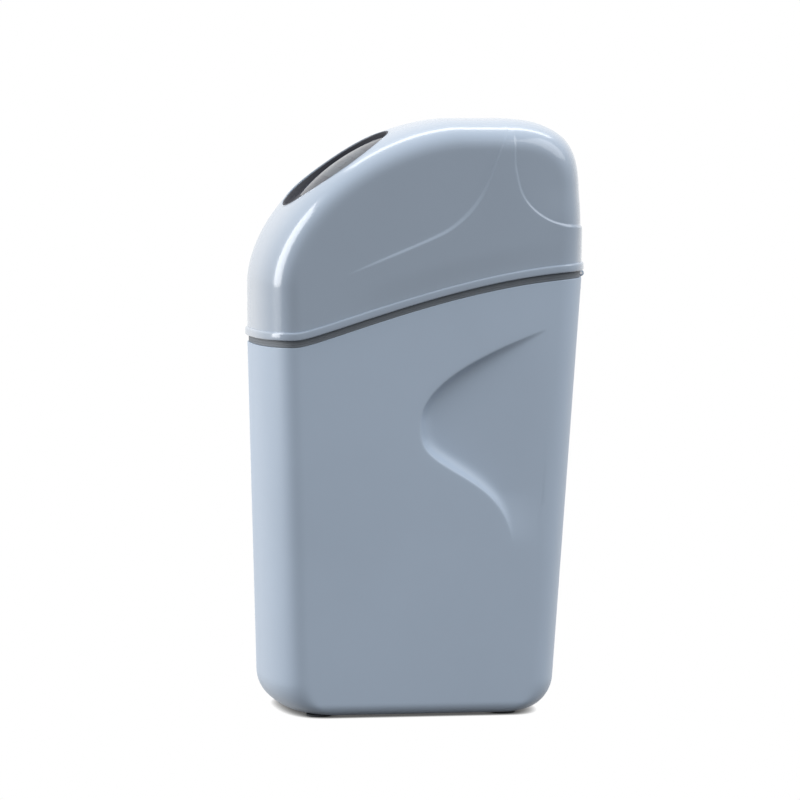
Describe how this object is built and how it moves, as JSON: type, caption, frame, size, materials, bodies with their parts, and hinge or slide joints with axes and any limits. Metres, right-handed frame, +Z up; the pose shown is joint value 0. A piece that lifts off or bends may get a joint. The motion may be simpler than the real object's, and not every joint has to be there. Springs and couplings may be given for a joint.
{
  "type": "water softener",
  "caption": "Cabinet water softener: rounded tub with hand scoops, hinged hood with a sloping oval control panel, resin tank, rotary valve and brine well inside.",
  "frame": {"origin": "middle of the bounding box on the floor", "axes": "+Z up, the front with the control panel looks along -Y, +X is the object's left as seen from the front"},
  "size_m": [0.24, 0.375, 0.66],
  "materials": {
    "tub_plastic": "satin blue-grey moulded plastic",
    "hood_plastic": "glossy blue-grey moulded plastic",
    "soft_seal": "matte soft rubber",
    "foot_rubber": "matte rubber",
    "steel": "plain steel",
    "bezel_black": "glossy dark plastic",
    "panel_glass": "grey tinted glass",
    "key_grey": "satin plastic",
    "board_green": "printed board",
    "black_plastic": "glass filled plastic",
    "tank_shell": "wound fibre reinforced plastic",
    "resin": "amber resin beads",
    "pale_plastic": "natural plastic",
    "ceramic": "lapped ceramic",
    "gear_plastic": "natural acetal",
    "motor_metal": "plated steel can",
    "blue_plastic": "blue plastic",
    "float_orange": "foam float"
  },
  "bodies": {
    "cabinet_body": {"cabinet": "tub_plastic", "foot_pads": "foot_rubber", "seal_band": "soft_seal", "hinge_pin": "steel", "resin_tank": "tank_shell", "tank_boot": "foot_rubber", "resin_bed": "resin", "riser_tube": "pale_plastic", "lower_strainer": "pale_plastic", "upper_strainer": "pale_plastic", "valve_body": "black_plastic", "fixed_disc": "ceramic", "valve_bonnet": "black_plastic", "bonnet_screws": "steel", "motor_bracket": "motor_metal", "drive_motor": "motor_metal", "injector_cap": "black_plastic", "meter_cage": "pale_plastic", "bypass_body": "black_plastic", "union_nuts": "black_plastic", "inlet_tail": "black_plastic", "outlet_tail": "black_plastic", "drain_spigot": "black_plastic", "brine_elbow": "black_plastic", "brine_tube": "pale_plastic", "brine_well": "pale_plastic", "brine_valve": "black_plastic", "salt_grid": "pale_plastic", "overflow_spigot": "black_plastic", "overflow_nut": "black_plastic", "cable_gland": "foot_rubber"},
    "hood_body": {"hood": "hood_plastic", "display_bezel": "bezel_black", "display_glass": "panel_glass", "display_board": "board_green", "display_housing": "black_plastic", "housing_screws": "steel"},
    "key_set_body": {"key_set": "key_grey"},
    "key_down_body": {"key_down": "key_grey"},
    "key_up_body": {"key_up": "key_grey"},
    "key_regen_body": {"key_regen": "key_grey"},
    "rotor_body": {"rotor_disc": "ceramic", "rotor_spindle": "steel", "main_gear": "gear_plastic"},
    "pinion_body": {"motor_pinion": "gear_plastic"},
    "turbine_body": {"meter_turbine": "blue_plastic"},
    "knob_in_body": {"bypass_knob_in": "blue_plastic"},
    "knob_out_body": {"bypass_knob_out": "blue_plastic"},
    "float_body": {"float_rod": "steel", "float_bob": "float_orange"}
  },
  "joints": [
    {"name": "hood_hinge", "type": "hinge", "parent": "cabinet_body", "child": "hood_body", "pos_m": [0, 0.184, 0.4865], "axis": [-1, 0, 0], "range_deg": [0, 80]},
    {"name": "key_set_press", "type": "slide", "parent": "hood_body", "child": "key_set_body", "axis": [0, 0.5771, -0.8166], "range_m": [0, 0.001], "stiffness_N_per_m": 300},
    {"name": "key_down_press", "type": "slide", "parent": "hood_body", "child": "key_down_body", "axis": [0, 0.5771, -0.8166], "range_m": [0, 0.001], "stiffness_N_per_m": 300},
    {"name": "key_up_press", "type": "slide", "parent": "hood_body", "child": "key_up_body", "axis": [0, 0.5771, -0.8166], "range_m": [0, 0.001], "stiffness_N_per_m": 300},
    {"name": "key_regen_press", "type": "slide", "parent": "hood_body", "child": "key_regen_body", "axis": [0, 0.5771, -0.8166], "range_m": [0, 0.001], "stiffness_N_per_m": 300},
    {"name": "rotor_spin", "type": "hinge", "parent": "cabinet_body", "child": "rotor_body", "pos_m": [0, 0.0485, 0.534], "axis": [0, 0, 1], "continuous": true},
    {"name": "pinion_spin", "type": "hinge", "parent": "cabinet_body", "child": "pinion_body", "pos_m": [0, 0.0085, 0.534], "axis": [0, 0, 1], "continuous": true},
    {"name": "turbine_spin", "type": "hinge", "parent": "cabinet_body", "child": "turbine_body", "pos_m": [0.036, 0.1085, 0.44], "axis": [0, 1, 0], "continuous": true},
    {"name": "inlet_valve", "type": "hinge", "parent": "cabinet_body", "child": "knob_in_body", "pos_m": [-0.036, 0.1295, 0.46], "axis": [0, 0, 1], "range_deg": [0, 90]},
    {"name": "outlet_valve", "type": "hinge", "parent": "cabinet_body", "child": "knob_out_body", "pos_m": [0.036, 0.1295, 0.46], "axis": [0, 0, 1], "range_deg": [0, 90]},
    {"name": "float_lift", "type": "slide", "parent": "cabinet_body", "child": "float_body", "axis": [0, 0, 1], "range_m": [0, 0.09]}
  ],
  "couplings": [
    {"joint": "pinion_spin", "follows": "rotor_spin", "ratio": -3}
  ]
}
